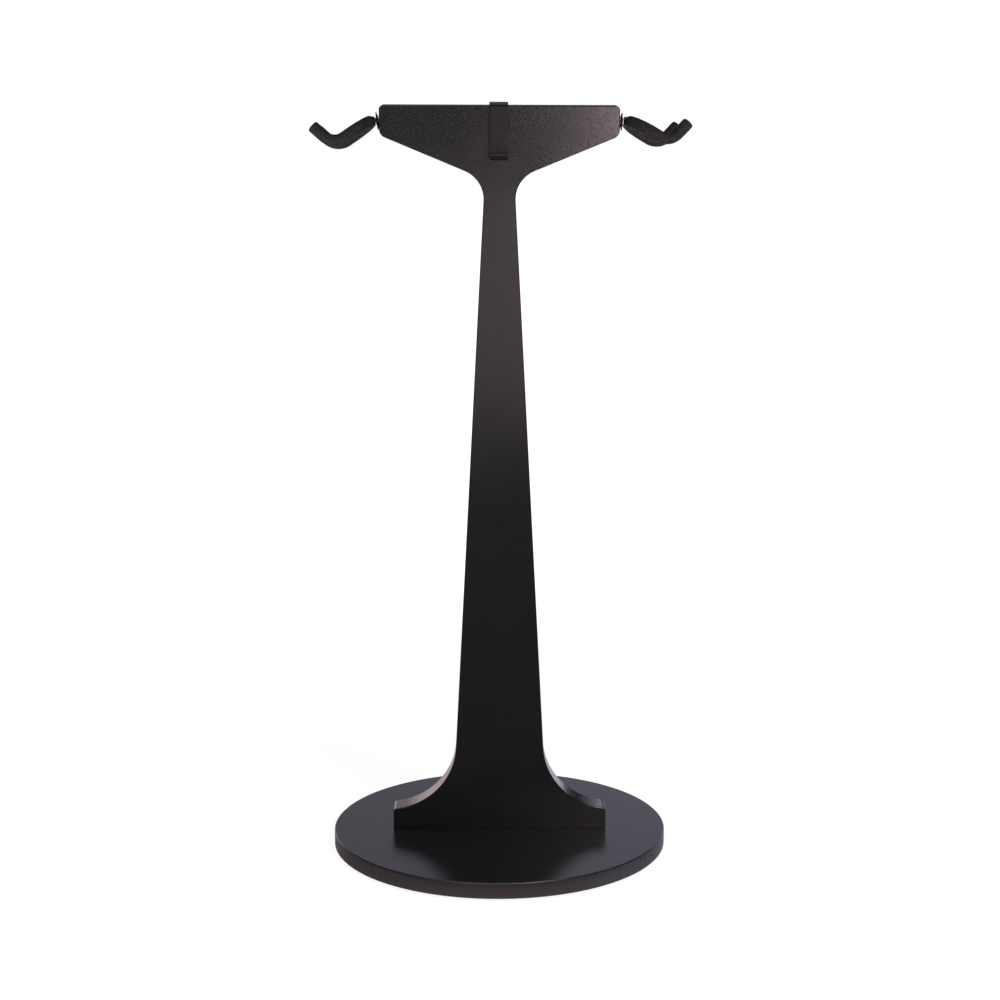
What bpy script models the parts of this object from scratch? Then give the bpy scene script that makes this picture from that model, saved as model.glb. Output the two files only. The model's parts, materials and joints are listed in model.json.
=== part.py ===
"""Double hanging guitar stand.

A flat T-shaped board stands on a round disc.  At each end of its head a bent yoke with foam
sleeves swivels on a threaded stud and holds a guitar by its headstock.  A flat strip hook saddles
over the middle of the head and slides along it.

Metres, +Z up.  The origin is on the floor under the middle of the disc.  The front faces -Y, and
+X is to the right of someone who faces the front.
"""
import math

import bmesh
import bpy
from mathutils import Matrix, Vector

# Clearances
TOUCH_GAP = 0.0003          # between pieces that touch
THREAD_CLEARANCE = 0.00025  # between a male thread's crest and its nut or insert
BOLT_CLEARANCE = 0.0005     # between a bolt and its clearance hole
BOLT_TIP_ROOM = 0.001       # beyond a bolt's tip in its blind hole
CUT_PAST = 0.002            # how far a guide runs past the face that it opens

# Base disc
DISC_RADIUS = 0.230
DISC_THICKNESS = 0.022
DISC_ARRIS = 0.0012

# Rubber feet, let into the disc
FOOT_COUNT = 4
FOOT_CIRCLE_RADIUS = 0.195
FOOT_RADIUS = 0.011
FOOT_PROUD = 0.002
FOOT_POCKET_DEPTH = 0.0015
FOOT_EDGE_ROUND = 0.0006

# Upright board; heights are measured from its foot
BOARD_THICKNESS = 0.036
BOARD_HEIGHT = 0.9936
BOARD_ROUND_OVER = 0.0012
HEAD_HALF_WIDTH = 0.158
HEAD_END_HEIGHT = 0.039
HEAD_TOP_CORNER = 0.0055
HEAD_LOWER_CORNER = 0.012
WING_RISE_DEG = 22.4
NECK_FILLET = 0.040
COLUMN_HALF_WIDTH_AT_FOOT = 0.0666  # the column's straight sides, carried down to the foot
COLUMN_TAPER_DEG = 2.98
TOE_HALF_WIDTH = 0.1475
TOE_HEIGHT = 0.0288
TOE_SLOPE_DEG = 8.0
TOE_CORNER = 0.005
FLARE_FILLET = 0.0925

# Bolts, inserts and dowels between the disc and the board
BASE_BOLT_SPACING = 0.100
BASE_BOLT_COUNT = 3
BASE_BOLT_RADIUS = 0.004
BASE_BOLT_LENGTH = 0.045
BASE_BOLT_HEAD_RADIUS = 0.0084
BASE_BOLT_HEAD_HEIGHT = 0.0046
BASE_BOLT_HEAD_SUNK = 0.0015
BASE_BOLT_CHAMFER = 0.0006
BASE_SOCKET_ACROSS_FLATS = 0.005
BASE_SOCKET_DEPTH = 0.003
BASE_INSERT_RADIUS = 0.0065
BASE_INSERT_LENGTH = 0.022
BASE_DOWEL_RADIUS = 0.005
BASE_DOWEL_LENGTH = 0.040
BASE_DOWEL_IN_DISC = 0.012
BASE_DOWEL_OFFSET = 0.050
BASE_DOWEL_CHAMFER = 0.001

# Yoke fittings, along the swivel axis from the head's end edge outwards
YOKE_AXIS_BELOW_TOP = 0.0209   # where the axis leaves the end edge
YOKE_SLOPE_DEG = {"left": 6.9, "right": 2.2}   # how far each axis dips outwards
INSERT_RADIUS = 0.0048
INSERT_LENGTH = 0.020
COLLAR_RADIUS = 0.0063
COLLAR_SUNK = 0.0012
COLLAR_PROUD = 0.0008
STUD_RADIUS = 0.003
STUD_LENGTH_IN_BOARD = 0.018
STUD_CHAMFER = 0.0006
WASHER_RADIUS = 0.0119
WASHER_BACK_RADIUS = 0.0064
WASHER_THICKNESS = 0.0021
WASHER_RIM_THICKNESS = 0.0008
WASHER_DISH = 0.0004        # how far the rim stands out beyond the middle
LOCKNUT_ACROSS_FLATS = 0.008
LOCKNUT_THICKNESS = 0.0021
BOSS_RADIUS = 0.0066
BOSS_LENGTH = 0.0059        # to the middle of the rod
BOSS_BACK_CHAMFER = 0.0006
BOSS_SADDLE = 0.0024        # how far the boss reaches round the rod

# Yoke rod and its foam sleeves
ROD_RADIUS = 0.004
PRONG_HALF_SPACING = 0.0311
PRONG_DROP_DEG = 27.5
PRONG_LENGTH = 0.0562
CRANK_RADIUS = 0.021
TIP_RISE_DEG = 48.3
TIP_LENGTH = 0.0372
SLEEVE_RADIUS = 0.00785
SLEEVE_ROOT_GAP = 0.0065    # from the middle of the rod to where each sleeve starts
ROD_END_RECESS = 0.003      # how far the rod's ends stop short of the sleeves' ends
YOKE_TURN_DEG = {"left": 6.2, "right": 6.3}   # where each swivel stands, front prong up
YOKE_SET_DEG = {"left": 0.0, "right": 8.6}    # how far each rod sits off square on its boss

# Accessory hook and its lining
HOOK_WIDTH = 0.0247
HOOK_THICKNESS = 0.0025
HOOK_FRONT_DROP = 0.0705    # from the top of the head to the lowest point of the lip
HOOK_BACK_DROP = 0.036
HOOK_LIP_RADIUS = 0.005
HOOK_LIP_RISE = 0.001
HOOK_EDGE_ROUND = 0.0005
LINING_THICKNESS = 0.0007
LINING_INSET = 0.0015
HOOK_OFFSET_X = -0.001      # where it stands along the head

# Fineness of round shapes
ROUND_SIDES = 24
ROUND_OVER_SEGMENTS = 3
SMALL_ROUND_SIDES = 16
DISC_SIDES = 96
SLEEVE_RING_RESOLUTION = 3
ROD_RING_RESOLUTION = 2
OUTLINE_STEP_DEG = 7.5
CORNER_STEP_DEG = 12.0
FLARE_STEP_DEG = 4.0
YOKE_STEP_DEG = 11.25
SMOOTH_ANGLE_DEG = 35.0
HOOK_SHARP_ANGLE_DEG = 60.0

# Levels that follow from the sizes above
DISC_BOTTOM_Z = FOOT_PROUD
DISC_TOP_Z = DISC_BOTTOM_Z + DISC_THICKNESS
BOARD_BOTTOM_Z = DISC_TOP_Z + TOUCH_GAP
BOARD_TOP_Z = BOARD_BOTTOM_Z + BOARD_HEIGHT
YOKE_AXIS_Z = BOARD_TOP_Z - YOKE_AXIS_BELOW_TOP
WASHER_START = COLLAR_PROUD + TOUCH_GAP
LOCKNUT_START = WASHER_START + WASHER_THICKNESS + TOUCH_GAP
BOSS_START = LOCKNUT_START + LOCKNUT_THICKNESS + TOUCH_GAP
YOKE_ROOT = BOSS_START + BOSS_LENGTH

COLOURS = {
    "black_paint": ((0.016, 0.016, 0.018, 1.0), 0.42, 0.0),
    "black_steel": ((0.020, 0.020, 0.021, 1.0), 0.35, 0.6),
    "foam": ((0.026, 0.025, 0.025, 1.0), 0.85, 0.0),
    "bright_steel": ((0.56, 0.55, 0.53, 1.0), 0.30, 1.0),
    "brass": ((0.62, 0.43, 0.20, 1.0), 0.30, 1.0),
    "rubber": ((0.03, 0.03, 0.03, 1.0), 0.80, 0.0),
    "beech": ((0.55, 0.38, 0.22, 1.0), 0.70, 0.0),
}


def clear_scene():
    for old in list(bpy.data.objects):
        bpy.data.objects.remove(old, do_unlink=True)


def material(name):
    made = bpy.data.materials.get(name)
    if made is None:
        colour, roughness, metallic = COLOURS[name]
        made = bpy.data.materials.new(name)
        made.use_nodes = True
        surface = made.node_tree.nodes["Principled BSDF"]
        surface.inputs["Base Color"].default_value = colour
        surface.inputs["Roughness"].default_value = roughness
        surface.inputs["Metallic"].default_value = metallic
    return made


def finish_object(name, mesh, material_name):
    """Link a mesh as a named sub-part."""
    mesh.shade_smooth()
    mesh.set_sharp_from_angle(angle=math.radians(SMOOTH_ANGLE_DEG))
    piece = bpy.data.objects.new(name, mesh)
    piece.data.materials.clear()
    piece.data.materials.append(material(material_name))
    bpy.context.scene.collection.objects.link(piece)
    return piece


def mesh_from(bm, name):
    mesh = bpy.data.meshes.new(name)
    bmesh.ops.recalc_face_normals(bm, faces=bm.faces)
    bm.to_mesh(mesh)
    bm.free()
    return mesh


def cutter(name, mesh, place=None):
    """A guide solid that only shapes other pieces."""
    guide = bpy.data.objects.new(name, mesh)
    guide.hide_render = True
    guide.display_type = "WIRE"
    if place is not None:
        guide.matrix_world = place
    bpy.context.scene.collection.objects.link(guide)
    return guide


def cut(piece, guide):
    """Cut a guide's shape out of a piece."""
    step = piece.modifiers.new(guide.name, "BOOLEAN")
    step.operation = "DIFFERENCE"
    step.solver = "EXACT"
    step.object = guide


def turned(bm, profile, sides, place=Matrix.Identity(4)):
    """Turn a closed (radius, height) profile about Z; points at radius zero close the ends."""
    rings = []
    for radius, height in profile:
        if radius == 0.0:
            rings.append([bm.verts.new(place @ Vector((0.0, 0.0, height)))])
            continue
        ring = []
        for side in range(sides):
            angle = 2.0 * math.pi * side / sides
            point = Vector((radius * math.cos(angle), radius * math.sin(angle), height))
            ring.append(bm.verts.new(place @ point))
        rings.append(ring)
    hollow = profile[0][0] > 0.0
    count = len(rings) if hollow else len(rings) - 1
    for index in range(count):
        lower, upper = rings[index], rings[(index + 1) % len(rings)]
        for side in range(sides):
            after = (side + 1) % sides
            if len(lower) == 1:
                bm.faces.new((lower[0], upper[side], upper[after]))
            elif len(upper) == 1:
                bm.faces.new((lower[side], lower[after], upper[0]))
            else:
                bm.faces.new((lower[side], lower[after], upper[after], upper[side]))


def turned_mesh(name, profile, sides, place=Matrix.Identity(4)):
    bm = bmesh.new()
    turned(bm, profile, sides, place)
    return mesh_from(bm, name)


def prism(bm, outline, start, end, place=Matrix.Identity(4)):
    """Extrude a closed (x, y) outline along Z from start to end."""
    lower = [bm.verts.new(place @ Vector((x, y, start))) for x, y in outline]
    face = bm.faces.new(lower)
    grown = bmesh.ops.extrude_face_region(bm, geom=[face])["geom"]
    shift = place.to_3x3() @ Vector((0.0, 0.0, end - start))
    bmesh.ops.translate(bm, vec=shift, verts=[v for v in grown if isinstance(v, bmesh.types.BMVert)])


def hexagon(across_flats):
    corner = across_flats / math.sqrt(3.0)
    turns = [math.radians(60.0 * step) for step in range(6)]
    return [(corner * math.cos(turn), corner * math.sin(turn)) for turn in turns]


def fillet(before, corner, after, radius, step_deg):
    """Points of the arc that rounds a corner between two straight runs."""
    to_before = (before - corner).normalized()
    to_after = (after - corner).normalized()
    opening = to_before.angle(to_after)
    reach = radius / math.tan(opening / 2.0)
    centre = corner + (to_before + to_after).normalized() * (radius / math.sin(opening / 2.0))
    first = corner + to_before * reach - centre
    last = corner + to_after * reach - centre
    turn = first.angle(last)
    steps = max(2, math.ceil(math.degrees(turn) / step_deg))
    points = []
    for step in range(steps + 1):
        share = step / steps
        near = math.sin((1.0 - share) * turn) / math.sin(turn)
        far = math.sin(share * turn) / math.sin(turn)
        points.append(centre + first * near + last * far)
    return points


def crossing(point, angle_deg, other_point, other_angle_deg):
    """Where two lines, each given by a point and a direction, cross."""
    run = Vector((math.cos(math.radians(angle_deg)), math.sin(math.radians(angle_deg))))
    other = Vector((math.cos(math.radians(other_angle_deg)), math.sin(math.radians(other_angle_deg))))
    between = other_point - point
    share = (between.x * other.y - between.y * other.x) / (run.x * other.y - run.y * other.x)
    return point + run * share


def board_outline():
    """The upright's outline in X and height, counter-clockwise from the right toe."""
    column_angle = 90.0 + COLUMN_TAPER_DEG
    column_foot = Vector((COLUMN_HALF_WIDTH_AT_FOOT, 0.0))
    toe_bottom = Vector((TOE_HALF_WIDTH, 0.0))
    toe_top = Vector((TOE_HALF_WIDTH, TOE_HEIGHT))
    flare = crossing(column_foot, column_angle, toe_top, 180.0 - TOE_SLOPE_DEG)
    head_lower = Vector((HEAD_HALF_WIDTH, BOARD_HEIGHT - HEAD_END_HEIGHT))
    neck = crossing(column_foot, column_angle, head_lower, 180.0 + WING_RISE_DEG)
    head_upper = Vector((HEAD_HALF_WIDTH, BOARD_HEIGHT))
    top_middle = Vector((0.0, BOARD_HEIGHT))
    half = [toe_bottom]
    half += fillet(toe_bottom, toe_top, flare, TOE_CORNER, CORNER_STEP_DEG)
    half += fillet(toe_top, flare, neck, FLARE_FILLET, FLARE_STEP_DEG)
    half += fillet(flare, neck, head_lower, NECK_FILLET, OUTLINE_STEP_DEG)
    half += fillet(neck, head_lower, head_upper, HEAD_LOWER_CORNER, CORNER_STEP_DEG)
    half += fillet(head_lower, head_upper, top_middle, HEAD_TOP_CORNER, CORNER_STEP_DEG)
    other_half = [Vector((-point.x, point.y)) for point in reversed(half)]
    return [(point.x, point.y) for point in half + other_half]


def base_bolt_places():
    middle = (BASE_BOLT_COUNT - 1) / 2.0
    return [(index - middle) * BASE_BOLT_SPACING for index in range(BASE_BOLT_COUNT)]


def upright_board():
    standing = Matrix.Translation((0.0, BOARD_THICKNESS / 2.0, BOARD_BOTTOM_Z)) @ Matrix.Rotation(
        math.radians(90.0), 4, "X")
    bm = bmesh.new()
    prism(bm, board_outline(), 0.0, BOARD_THICKNESS, standing)
    # The round-over runs round both faces, but not along the foot, which stands on the disc.
    edges = []
    for edge in bm.edges:
        ends = [vertex.co for vertex in edge.verts]
        along_a_face = abs(ends[0].y - ends[1].y) < TOUCH_GAP
        on_foot = max(end.z for end in ends) < BOARD_BOTTOM_Z + TOUCH_GAP
        if along_a_face and not on_foot:
            edges.append(edge)
    bmesh.ops.bevel(
        bm, geom=edges, offset=BOARD_ROUND_OVER, segments=ROUND_OVER_SEGMENTS, profile=0.5,
        affect="EDGES")
    board = finish_object("upright_board", mesh_from(bm, "upright_board"), "black_paint")
    bolt_hole = DISC_BOTTOM_Z + BASE_BOLT_HEAD_SUNK + BASE_BOLT_LENGTH + BOLT_TIP_ROOM - BOARD_BOTTOM_Z
    for index, x in enumerate(base_bolt_places()):
        socket = [
            (0.0, -CUT_PAST), (BASE_INSERT_RADIUS + TOUCH_GAP, -CUT_PAST),
            (BASE_INSERT_RADIUS + TOUCH_GAP, BASE_INSERT_LENGTH + TOUCH_GAP),
            (BASE_BOLT_RADIUS + BOLT_CLEARANCE, BASE_INSERT_LENGTH + TOUCH_GAP),
            (BASE_BOLT_RADIUS + BOLT_CLEARANCE, bolt_hole), (0.0, bolt_hole)]
        place = Matrix.Translation((x, 0.0, BOARD_BOTTOM_Z))
        name = f"base_socket_guide_{index + 1}"
        cut(board, cutter(name, turned_mesh(name, socket, ROUND_SIDES), place))
    for index, x in enumerate((-BASE_DOWEL_OFFSET, BASE_DOWEL_OFFSET)):
        name = f"board_dowel_guide_{index + 1}"
        cut(board, dowel_guide(name, x))
    for side in ("left", "right"):
        cut(board, insert_guide(side))
    return board


def dowel_guide(name, x):
    bore = BASE_DOWEL_RADIUS + TOUCH_GAP
    low = DISC_TOP_Z - BASE_DOWEL_IN_DISC - TOUCH_GAP
    high = low + BASE_DOWEL_LENGTH + 2.0 * TOUCH_GAP
    profile = [(0.0, low), (bore, low), (bore, high), (0.0, high)]
    return cutter(name, turned_mesh(name, profile, SMALL_ROUND_SIDES), Matrix.Translation((x, 0.0, 0.0)))


def base_disc():
    low, high = DISC_BOTTOM_Z, DISC_TOP_Z
    profile = [
        (0.0, low), (DISC_RADIUS - DISC_ARRIS, low), (DISC_RADIUS, low + DISC_ARRIS),
        (DISC_RADIUS, high - DISC_ARRIS), (DISC_RADIUS - DISC_ARRIS, high), (0.0, high)]
    disc = finish_object("base_disc", turned_mesh("base_disc", profile, DISC_SIDES), "black_paint")
    head = BASE_BOLT_HEAD_RADIUS + BOLT_CLEARANCE
    shank = BASE_BOLT_RADIUS + BOLT_CLEARANCE
    sunk = low + BASE_BOLT_HEAD_SUNK
    for index, x in enumerate(base_bolt_places()):
        hole = [
            (0.0, low - CUT_PAST), (head, low - CUT_PAST), (head, sunk),
            (shank, sunk + BASE_BOLT_HEAD_HEIGHT), (shank, high + CUT_PAST), (0.0, high + CUT_PAST)]
        name = f"disc_bolt_guide_{index + 1}"
        cut(disc, cutter(name, turned_mesh(name, hole, ROUND_SIDES), Matrix.Translation((x, 0.0, 0.0))))
    for index, x in enumerate((-BASE_DOWEL_OFFSET, BASE_DOWEL_OFFSET)):
        cut(disc, dowel_guide(f"disc_dowel_guide_{index + 1}", x))
    pocket = FOOT_RADIUS + TOUCH_GAP
    roof = low + FOOT_POCKET_DEPTH
    for index, (x, y) in enumerate(foot_places()):
        recess = [(0.0, low - CUT_PAST), (pocket, low - CUT_PAST), (pocket, roof), (0.0, roof)]
        name = f"foot_pocket_guide_{index + 1}"
        place = Matrix.Translation((x, y, 0.0))
        cut(disc, cutter(name, turned_mesh(name, recess, ROUND_SIDES), place))
    return disc


def foot_places():
    turns = [2.0 * math.pi * (index + 0.5) / FOOT_COUNT for index in range(FOOT_COUNT)]
    return [(FOOT_CIRCLE_RADIUS * math.cos(turn), FOOT_CIRCLE_RADIUS * math.sin(turn)) for turn in turns]


def rubber_feet():
    top = DISC_BOTTOM_Z + FOOT_POCKET_DEPTH - TOUCH_GAP
    profile = [
        (0.0, 0.0), (FOOT_RADIUS - FOOT_EDGE_ROUND, 0.0), (FOOT_RADIUS, FOOT_EDGE_ROUND),
        (FOOT_RADIUS, top), (0.0, top)]
    mesh = turned_mesh("rubber_foot", profile, ROUND_SIDES)
    for index, (x, y) in enumerate(foot_places()):
        foot = finish_object(f"rubber_foot_{index + 1}", mesh, "rubber")
        foot.location = (x, y, 0.0)


def base_bolts():
    """Countersunk socket screws that pull the upright down on to the disc."""
    bottom = DISC_BOTTOM_Z + BASE_BOLT_HEAD_SUNK
    top = bottom + BASE_BOLT_LENGTH
    profile = [
        (0.0, bottom), (BASE_BOLT_HEAD_RADIUS, bottom),
        (BASE_BOLT_RADIUS, bottom + BASE_BOLT_HEAD_HEIGHT), (BASE_BOLT_RADIUS, top - BASE_BOLT_CHAMFER),
        (BASE_BOLT_RADIUS - BASE_BOLT_CHAMFER, top), (0.0, top)]
    for index, x in enumerate(base_bolt_places()):
        place = Matrix.Translation((x, 0.0, 0.0))
        name = f"base_bolt_{index + 1}"
        bolt = finish_object(name, turned_mesh(name, profile, SMALL_ROUND_SIDES), "bright_steel")
        bolt.matrix_world = place
        bm = bmesh.new()
        prism(bm, hexagon(BASE_SOCKET_ACROSS_FLATS), bottom - CUT_PAST, bottom + BASE_SOCKET_DEPTH)
        guide_name = f"bolt_socket_guide_{index + 1}"
        cut(bolt, cutter(guide_name, mesh_from(bm, guide_name), place))


def base_inserts():
    """Threaded inserts in the underside of the board; the bolts run in their bores."""
    bore = BASE_BOLT_RADIUS + THREAD_CLEARANCE
    low = BOARD_BOTTOM_Z
    high = low + BASE_INSERT_LENGTH
    profile = [(bore, low), (BASE_INSERT_RADIUS, low), (BASE_INSERT_RADIUS, high), (bore, high)]
    for index, x in enumerate(base_bolt_places()):
        name = f"base_insert_{index + 1}"
        insert = finish_object(name, turned_mesh(name, profile, ROUND_SIDES), "brass")
        insert.location.x = x


def base_dowels():
    low = DISC_TOP_Z - BASE_DOWEL_IN_DISC
    high = low + BASE_DOWEL_LENGTH
    narrow = BASE_DOWEL_RADIUS - BASE_DOWEL_CHAMFER
    profile = [
        (0.0, low), (narrow, low), (BASE_DOWEL_RADIUS, low + BASE_DOWEL_CHAMFER),
        (BASE_DOWEL_RADIUS, high - BASE_DOWEL_CHAMFER), (narrow, high), (0.0, high)]
    for index, x in enumerate((-BASE_DOWEL_OFFSET, BASE_DOWEL_OFFSET)):
        name = f"base_dowel_{index + 1}"
        dowel = finish_object(name, turned_mesh(name, profile, SMALL_ROUND_SIDES), "beech")
        dowel.location.x = x


def outward(side):
    """Which way an end of the head points along X."""
    return 1.0 if side == "right" else -1.0


def yoke_side(side):
    """Frame of one end of the head: +X points outwards along the swivel axis from the end edge."""
    facing = Matrix.Rotation(0.0 if side == "right" else math.pi, 4, "Z")
    slope = Matrix.Rotation(math.radians(YOKE_SLOPE_DEG[side]), 4, "Y")
    return Matrix.Translation((outward(side) * HEAD_HALF_WIDTH, 0.0, YOKE_AXIS_Z)) @ facing @ slope


def along_axis():
    """Turns a profile's height axis on to the swivel axis."""
    return Matrix.Rotation(math.radians(90.0), 4, "Y")


def insert_guide(side):
    bore = INSERT_RADIUS + TOUCH_GAP
    rebate = COLLAR_RADIUS + TOUCH_GAP
    step = -COLLAR_SUNK - TOUCH_GAP
    inner = -INSERT_LENGTH - TOUCH_GAP
    profile = [
        (0.0, inner), (bore, inner), (bore, step), (rebate, step),
        (rebate, CUT_PAST), (0.0, CUT_PAST)]
    name = f"{side}_insert_guide"
    mesh = turned_mesh(name, profile, ROUND_SIDES, along_axis())
    return cutter(name, mesh, yoke_side(side))


def yoke_insert(side):
    """Threaded insert whose collar is let into the head's end edge and stands a little proud."""
    bore = STUD_RADIUS + THREAD_CLEARANCE
    profile = [
        (bore, -INSERT_LENGTH), (INSERT_RADIUS, -INSERT_LENGTH), (INSERT_RADIUS, -COLLAR_SUNK),
        (COLLAR_RADIUS, -COLLAR_SUNK), (COLLAR_RADIUS, COLLAR_PROUD), (bore, COLLAR_PROUD)]
    mesh = turned_mesh(f"{side}_yoke_insert", profile, ROUND_SIDES, along_axis())
    finish_object(f"{side}_yoke_insert", mesh, "brass").matrix_world = yoke_side(side)


def yoke_pivot(side):
    """Empty on the swivel axis that carries one yoke's moving pieces."""
    pivot = bpy.data.objects.new(f"{side}_yoke_pivot", None)
    bpy.context.scene.collection.objects.link(pivot)
    turn = Matrix.Rotation(math.radians(-outward(side) * YOKE_TURN_DEG[side]), 4, "X")
    pivot.matrix_world = yoke_side(side) @ turn
    return pivot


def yoke_stud(side, pivot):
    """Stud that screws into the insert and carries the washer, the locknut and the boss."""
    inner = -STUD_LENGTH_IN_BOARD
    outer = BOSS_START - TOUCH_GAP
    narrow = STUD_RADIUS - STUD_CHAMFER
    profile = [
        (0.0, inner), (narrow, inner), (STUD_RADIUS, inner + STUD_CHAMFER), (STUD_RADIUS, outer),
        (0.0, outer)]
    mesh = turned_mesh(f"{side}_yoke_stud", profile, SMALL_ROUND_SIDES, along_axis())
    finish_object(f"{side}_yoke_stud", mesh, "bright_steel").parent = pivot


def yoke_locknut(side, pivot):
    bm = bmesh.new()
    end = LOCKNUT_START + LOCKNUT_THICKNESS
    prism(bm, hexagon(LOCKNUT_ACROSS_FLATS), LOCKNUT_START, end, along_axis())
    nut = finish_object(f"{side}_yoke_locknut", mesh_from(bm, f"{side}_yoke_locknut"), "bright_steel")
    nut.parent = pivot
    bore = STUD_RADIUS + THREAD_CLEARANCE
    profile = [
        (0.0, LOCKNUT_START - TOUCH_GAP), (bore, LOCKNUT_START - TOUCH_GAP), (bore, end + TOUCH_GAP),
        (0.0, end + TOUCH_GAP)]
    name = f"{side}_locknut_guide"
    guide = cutter(name, turned_mesh(name, profile, SMALL_ROUND_SIDES, along_axis()))
    guide.parent = pivot
    cut(nut, guide)


def yoke_washer(side, pivot):
    """Washer with a cone-shaped back between the insert's collar and the locknut."""
    bore = STUD_RADIUS + THREAD_CLEARANCE
    front = WASHER_START + WASHER_THICKNESS
    rim_front = front + WASHER_DISH
    profile = [
        (bore, WASHER_START), (WASHER_BACK_RADIUS, WASHER_START),
        (WASHER_RADIUS, rim_front - WASHER_RIM_THICKNESS), (WASHER_RADIUS, rim_front),
        (WASHER_BACK_RADIUS, front), (bore, front)]
    mesh = turned_mesh(f"{side}_yoke_washer", profile, ROUND_SIDES, along_axis())
    finish_object(f"{side}_yoke_washer", mesh, "black_steel").parent = pivot


def prong_half(end_trim, root_trim):
    """Centre line of half the rod, from root_trim past its middle to end_trim short of its tip."""
    drop = math.radians(PRONG_DROP_DEG)
    rise = math.radians(TIP_RISE_DEG)
    outwards = Vector((math.cos(drop), 0.0, -math.sin(drop)))
    above = Vector((math.sin(drop), 0.0, math.cos(drop)))
    points = []
    start = root_trim / PRONG_HALF_SPACING
    steps = math.ceil(math.degrees(math.pi / 2.0 - start) / YOKE_STEP_DEG)
    for step in range(steps + 1):
        angle = start + (math.pi / 2.0 - start) * step / steps
        reach = PRONG_HALF_SPACING * (1.0 - math.cos(angle))
        points.append(outwards * reach + Vector((0.0, -PRONG_HALF_SPACING * math.sin(angle), 0.0)))
    spread = Vector((0.0, -PRONG_HALF_SPACING, 0.0))
    crank = drop + rise
    tangent = CRANK_RADIUS * math.tan(crank / 2.0)
    bend_start = outwards * (PRONG_LENGTH - tangent) + spread
    bend_centre = bend_start + above * CRANK_RADIUS
    steps = math.ceil(math.degrees(crank) / YOKE_STEP_DEG)
    for step in range(steps + 1):
        angle = crank * step / steps
        points.append(bend_centre + (outwards * math.sin(angle) - above * math.cos(angle)) * CRANK_RADIUS)
    tip = Vector((math.cos(rise), 0.0, math.sin(rise)))
    points.append(points[-1] + tip * (TIP_LENGTH - tangent - end_trim))
    return points


def tube_along(name, points, radius, resolution, capped):
    """Mesh of a round bar or an open tube along a row of points."""
    curve = bpy.data.curves.new(name, "CURVE")
    curve.dimensions = "3D"
    curve.bevel_depth = radius
    curve.bevel_resolution = resolution
    curve.use_fill_caps = capped
    run = curve.splines.new("POLY")
    run.points.add(len(points) - 1)
    for knot, point in zip(run.points, points):
        knot.co = (*point, 1.0)
    guide = bpy.data.objects.new(name, curve)
    bpy.context.scene.collection.objects.link(guide)
    depsgraph = bpy.context.evaluated_depsgraph_get()
    mesh = bpy.data.meshes.new_from_object(guide.evaluated_get(depsgraph))
    bpy.data.objects.remove(guide, do_unlink=True)
    mesh.name = name
    return mesh


def mirrored(points):
    return [Vector((point.x, -point.y, point.z)) for point in points]


def rod_frame(side):
    """Place of the bent rod's middle in its pivot's frame, with its small set in plan."""
    turn = Matrix.Rotation(math.radians(YOKE_SET_DEG[side]) * outward(side), 4, "Z")
    return Matrix.Translation((YOKE_ROOT, 0.0, 0.0)) @ turn


def rod_tube(name, radius):
    half = prong_half(ROD_END_RECESS, 0.0)
    points = list(reversed(half)) + mirrored(half)[1:]
    return tube_along(name, points, radius, ROD_RING_RESOLUTION, True)


def yoke_rod(side, pivot):
    mesh = rod_tube(f"{side}_yoke_rod", ROD_RADIUS)
    rod = finish_object(f"{side}_yoke_rod", mesh, "black_steel")
    rod.parent = pivot
    rod.matrix_local = rod_frame(side)


def yoke_boss(side, pivot):
    """Boss that the rod is welded to; its outer face is saddled to the rod."""
    outer = YOKE_ROOT - ROD_RADIUS + BOSS_SADDLE
    profile = [
        (0.0, BOSS_START), (BOSS_RADIUS - BOSS_BACK_CHAMFER, BOSS_START),
        (BOSS_RADIUS, BOSS_START + BOSS_BACK_CHAMFER), (BOSS_RADIUS, outer), (0.0, outer)]
    mesh = turned_mesh(f"{side}_yoke_boss", profile, ROUND_SIDES, along_axis())
    boss = finish_object(f"{side}_yoke_boss", mesh, "black_steel")
    boss.parent = pivot
    name = f"{side}_boss_guide"
    guide = cutter(name, rod_tube(name, ROD_RADIUS + TOUCH_GAP))
    guide.parent = pivot
    guide.matrix_local = rod_frame(side)
    cut(boss, guide)


def yoke_sleeves(side, pivot):
    """Foam tubes pushed on to the two prongs."""
    one = prong_half(0.0, SLEEVE_ROOT_GAP)
    other = mirrored(one)
    places = ("front", "rear") if side == "right" else ("rear", "front")
    for place, points in zip(places, (one, other)):
        name = f"{side}_yoke_sleeve_{place}"
        mesh = tube_along(name, points, SLEEVE_RADIUS, SLEEVE_RING_RESOLUTION, False)
        sleeve = finish_object(name, mesh, "foam")
        sleeve.parent = pivot
        sleeve.matrix_local = rod_frame(side)
        wall = sleeve.modifiers.new("foam_wall", "SOLIDIFY")
        wall.thickness = SLEEVE_RADIUS - ROD_RADIUS - TOUCH_GAP * 2.0
        wall.offset = -1.0
        wall.use_even_offset = True
        wall.use_rim = True


def yoke(side):
    yoke_insert(side)
    pivot = yoke_pivot(side)
    yoke_stud(side, pivot)
    yoke_washer(side, pivot)
    yoke_locknut(side, pivot)
    yoke_rod(side, pivot)
    yoke_boss(side, pivot)
    yoke_sleeves(side, pivot)


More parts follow.
